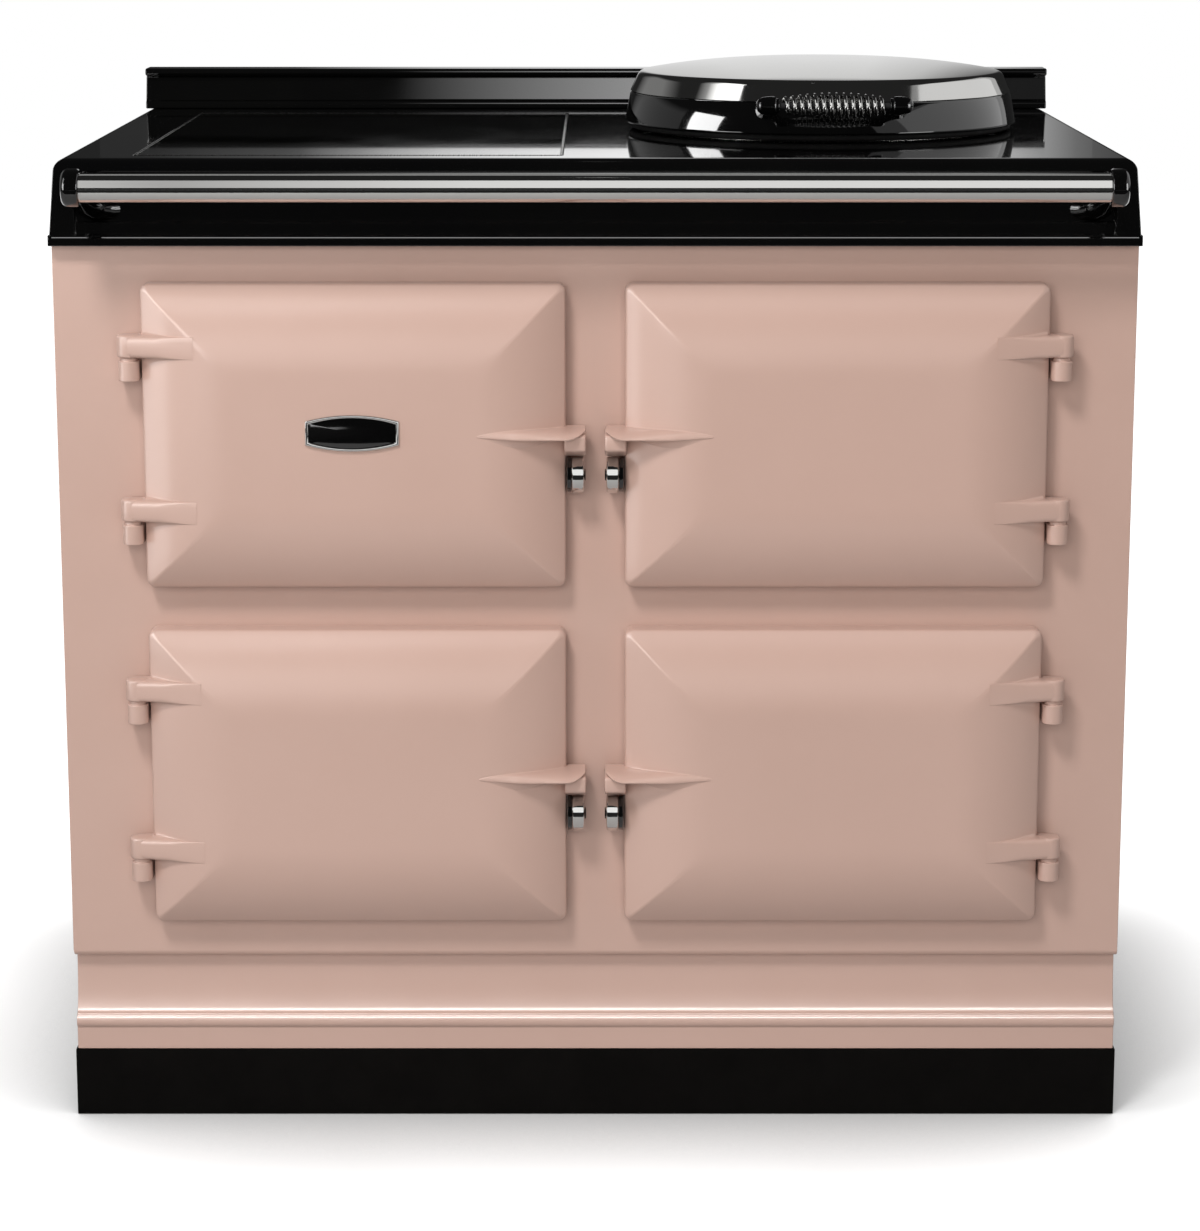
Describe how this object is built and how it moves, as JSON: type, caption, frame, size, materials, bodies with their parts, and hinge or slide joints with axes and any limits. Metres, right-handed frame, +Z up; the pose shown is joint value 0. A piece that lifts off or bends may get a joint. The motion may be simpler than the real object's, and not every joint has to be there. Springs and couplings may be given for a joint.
{
  "type": "range cooker",
  "caption": "Free-standing cast iron range cooker with hinged oven doors, a lidded hotplate, a flush glass hob panel and a front hand rail.",
  "frame": {"origin": "middle of the footprint, on the floor", "axes": "+X to the cooker's right as seen from the front, +Y to the back, +Z up; the doors face -Y"},
  "size_m": [0.99, 0.759, 0.98],
  "materials": {
    "enamel_pink": "glossy vitreous enamel over cast iron",
    "enamel_black": "high-gloss black vitreous enamel",
    "plinth_black": "satin black powder coat",
    "chrome": "polished chrome",
    "knob_steel": "turned and brushed steel",
    "glass_black": "opaque black ceramic glass, polished",
    "badge_black": "glossy black field in a chrome rim, bare of letters",
    "cast_iron": "bare seasoned cast iron",
    "element": "heat-darkened steel sheath",
    "copper": "varnished copper winding",
    "mineral_wool": "pressed mineral wool",
    "plastic_black": "fine-grained black moulding",
    "shelf_wire": "bright wire",
    "aluminised_steel": "aluminised steel sheet",
    "galvanised_steel": "galvanised sheet steel"
  },
  "bodies": {
    "casing": {"plinth": "plinth_black", "levelling_feet": "galvanised_steel", "base_frame": "cast_iron", "base_moulding": "enamel_pink", "front_plate": "enamel_pink", "side_panel_left": "enamel_pink", "side_panel_right": "enamel_pink", "back_panel": "galvanised_steel", "hob_casing": "enamel_black", "upstand": "enamel_black", "hob_glass": "glass_black", "glass_trim": "chrome", "induction_coils": "copper", "induction_tray": "galvanised_steel", "hotplate": "cast_iron", "hotplate_ring": "chrome", "heating_elements": "element", "lid_hinge_bracket": "enamel_black", "lid_hinge_pin": "chrome", "hand_rail": "chrome", "rail_brackets": "enamel_black", "hinge_blocks": "enamel_pink", "catch_brackets": "enamel_black", "roasting_oven": "cast_iron", "baking_oven": "cast_iron", "simmering_oven": "cast_iron", "oven_insulation": "mineral_wool", "control_fascia": "plastic_black", "control_box": "galvanised_steel", "cable_gland": "plastic_black"},
    "door_upper_left": {"door_upper_left": "enamel_pink", "inner_upper_left": "aluminised_steel", "door_badge": "badge_black"},
    "door_upper_right": {"door_upper_right": "enamel_pink", "inner_upper_right": "aluminised_steel", "pad_upper_right": "mineral_wool"},
    "door_lower_left": {"door_lower_left": "enamel_pink", "inner_lower_left": "aluminised_steel", "pad_lower_left": "mineral_wool"},
    "door_lower_right": {"door_lower_right": "enamel_pink", "inner_lower_right": "aluminised_steel", "pad_lower_right": "mineral_wool"},
    "lid": {"lid_band": "enamel_black", "lid_cap": "chrome", "lid_liner": "aluminised_steel", "lid_arm": "enamel_black", "lid_handle_posts": "enamel_black", "lid_handle_rod": "chrome", "lid_handle_coil": "chrome"},
    "shelf_roasting": {"shelf_roasting": "shelf_wire"},
    "shelf_baking": {"shelf_baking": "shelf_wire"},
    "shelf_simmering": {"shelf_simmering": "shelf_wire"},
    "knob_1": {"knob_1": "knob_steel"},
    "knob_2": {"knob_2": "knob_steel"},
    "knob_3": {"knob_3": "knob_steel"},
    "knob_4": {"knob_4": "knob_steel"},
    "roller_upper_left": {"roller_upper_left": "chrome"},
    "roller_upper_right": {"roller_upper_right": "chrome"},
    "roller_lower_left": {"roller_lower_left": "chrome"},
    "roller_lower_right": {"roller_lower_right": "chrome"}
  },
  "joints": [
    {"name": "door_upper_left_hinge", "type": "hinge", "parent": "casing", "child": "door_upper_left", "pos_m": [-0.423, -0.3065, 0.658], "axis": [0, 0, -1], "range_deg": [0, 115]},
    {"name": "door_upper_right_hinge", "type": "hinge", "parent": "casing", "child": "door_upper_right", "pos_m": [0.423, -0.3065, 0.658], "axis": [0, 0, 1], "range_deg": [0, 115]},
    {"name": "door_lower_left_hinge", "type": "hinge", "parent": "casing", "child": "door_lower_left", "pos_m": [-0.423, -0.3065, 0.338], "axis": [0, 0, -1], "range_deg": [0, 115]},
    {"name": "door_lower_right_hinge", "type": "hinge", "parent": "casing", "child": "door_lower_right", "pos_m": [0.423, -0.3065, 0.338], "axis": [0, 0, 1], "range_deg": [0, 115]},
    {"name": "lid_hinge", "type": "hinge", "parent": "casing", "child": "lid", "pos_m": [0.225, 0.2925, 0.93], "axis": [-1, 0, 0], "range_deg": [0, 88]},
    {"name": "roller_upper_left_spin", "type": "hinge", "parent": "casing", "child": "roller_upper_left", "pos_m": [-0.0158, -0.3045, 0.623], "axis": [1, 0, 0], "continuous": true},
    {"name": "roller_upper_right_spin", "type": "hinge", "parent": "casing", "child": "roller_upper_right", "pos_m": [0.0158, -0.3045, 0.623], "axis": [1, 0, 0], "continuous": true},
    {"name": "roller_lower_left_spin", "type": "hinge", "parent": "casing", "child": "roller_lower_left", "pos_m": [-0.0158, -0.3045, 0.303], "axis": [1, 0, 0], "continuous": true},
    {"name": "roller_lower_right_spin", "type": "hinge", "parent": "casing", "child": "roller_lower_right", "pos_m": [0.0158, -0.3045, 0.303], "axis": [1, 0, 0], "continuous": true},
    {"name": "knob_1_turn", "type": "hinge", "parent": "casing", "child": "knob_1", "pos_m": [-0.3275, -0.2345, 0.638], "axis": [0, 1, 0], "range_deg": [0, 270]},
    {"name": "knob_2_turn", "type": "hinge", "parent": "casing", "child": "knob_2", "pos_m": [-0.2555, -0.2345, 0.638], "axis": [0, 1, 0], "range_deg": [0, 270]},
    {"name": "knob_3_turn", "type": "hinge", "parent": "casing", "child": "knob_3", "pos_m": [-0.1835, -0.2345, 0.638], "axis": [0, 1, 0], "range_deg": [0, 270]},
    {"name": "knob_4_turn", "type": "hinge", "parent": "casing", "child": "knob_4", "pos_m": [-0.1115, -0.2345, 0.638], "axis": [0, 1, 0], "range_deg": [0, 270]},
    {"name": "shelf_roasting_slide", "type": "slide", "parent": "casing", "child": "shelf_roasting", "axis": [0, -1, 0], "range_m": [0, 0.065]},
    {"name": "shelf_baking_slide", "type": "slide", "parent": "casing", "child": "shelf_baking", "axis": [0, -1, 0], "range_m": [0, 0.065]},
    {"name": "shelf_simmering_slide", "type": "slide", "parent": "casing", "child": "shelf_simmering", "axis": [0, -1, 0], "range_m": [0, 0.065]}
  ]
}
